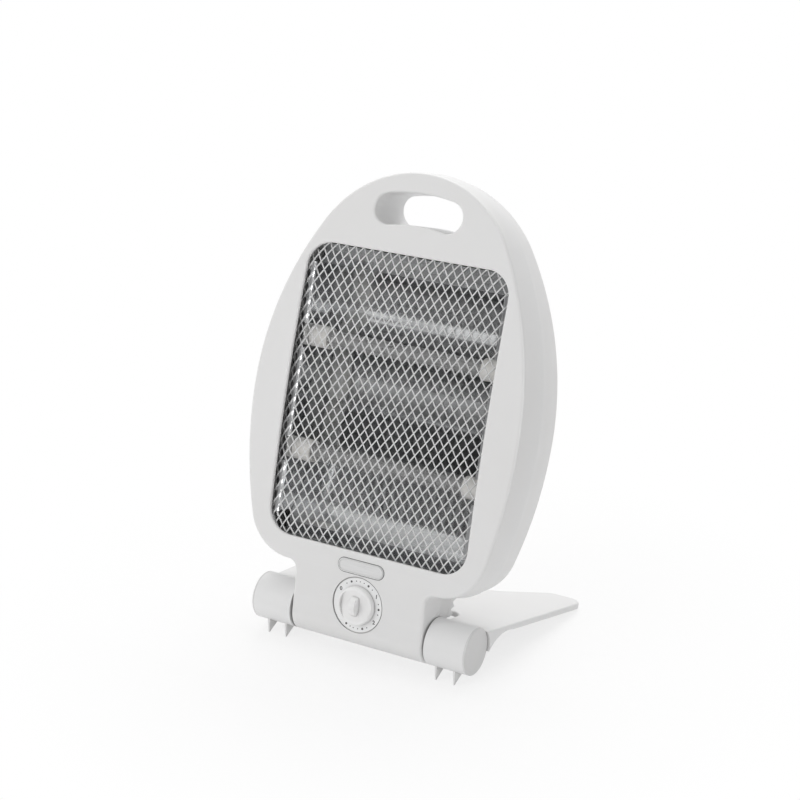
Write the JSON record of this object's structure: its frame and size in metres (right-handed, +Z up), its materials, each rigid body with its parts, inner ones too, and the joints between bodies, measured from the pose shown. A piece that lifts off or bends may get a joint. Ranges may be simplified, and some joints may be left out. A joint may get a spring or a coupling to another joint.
{
  "type": "quartz heater",
  "caption": "Free-standing tilting quartz heater: egg-shaped two-shell case with wire guard, quartz bars, reflector, switch knob and carrying slot, hinged on a forked stand.",
  "frame": {"origin": "on the floor, under the middle of the whole object's box", "axes": "+Z up, -Y towards the side that radiates heat, +X to the right seen from the front"},
  "size_m": [0.224, 0.1692, 0.3416],
  "materials": {
    "case_plastic": "satin moulded white plastic",
    "stand_plastic": "satin moulded white plastic",
    "knob_plastic": "satin moulded white plastic",
    "dial_plastic": "satin white plastic with grey marks",
    "badge_plastic": "bare raised plate",
    "grille_wire": "bright plated wire",
    "reflector_sheet": "bright rolled sheet",
    "quartz_glass": "clear quartz",
    "coil_wire": "dull resistance wire",
    "ceramic": "white glazed ceramic",
    "steel": "zinc-plated steel",
    "switch_plastic": "moulded black plastic",
    "nut_brass": "plated brass",
    "gland_rubber": "moulded rubber",
    "block_plastic": "natural moulded plastic",
    "cutout_can": "pressed can"
  },
  "bodies": {
    "stand": {"stand_base": "stand_plastic", "knuckle_cap_left": "stand_plastic", "knuckle_cap_right": "stand_plastic"},
    "heater": {"front_panel": "case_plastic", "rear_shell": "case_plastic", "grille": "grille_wire", "reflector": "reflector_sheet", "end_plate_left": "reflector_sheet", "end_plate_right": "reflector_sheet", "quartz_tube_upper": "quartz_glass", "quartz_tube_lower": "quartz_glass", "heating_coil_upper": "coil_wire", "heating_coil_lower": "coil_wire", "ceramic_cap_upper_left": "ceramic", "ceramic_cap_upper_right": "ceramic", "ceramic_cap_lower_left": "ceramic", "ceramic_cap_lower_right": "ceramic", "element_pin_upper_left": "steel", "element_pin_upper_right": "steel", "element_pin_lower_left": "steel", "element_pin_lower_right": "steel", "pivot_sleeve_left": "steel", "pivot_sleeve_right": "steel", "pivot_washer_left": "steel", "pivot_washer_right": "steel", "pivot_screw_left": "steel", "pivot_screw_right": "steel", "badge_plate": "badge_plastic", "ratchet_strip": "case_plastic", "case_screws": "steel", "reflector_screws": "steel", "lead_wires": "steel", "rotary_switch": "switch_plastic", "switch_nut": "nut_brass", "dial_disc": "dial_plastic", "cord_gland": "gland_rubber", "terminal_block": "block_plastic", "tip_over_switch": "switch_plastic", "thermal_cutout": "cutout_can"},
    "knob": {"knob": "knob_plastic", "switch_shaft": "steel"}
  },
  "joints": [
    {"name": "body_tilt", "type": "hinge", "parent": "stand", "child": "heater", "pos_m": [0, -0.06133, 0.024], "axis": [1, 0, 0], "range_deg": [-15, 25]},
    {"name": "knob_turn", "type": "hinge", "parent": "heater", "child": "knob", "pos_m": [0, -0.07538, 0.04378], "axis": [0, -0.9812, 0.1931], "range_deg": [-120, 0]}
  ]
}
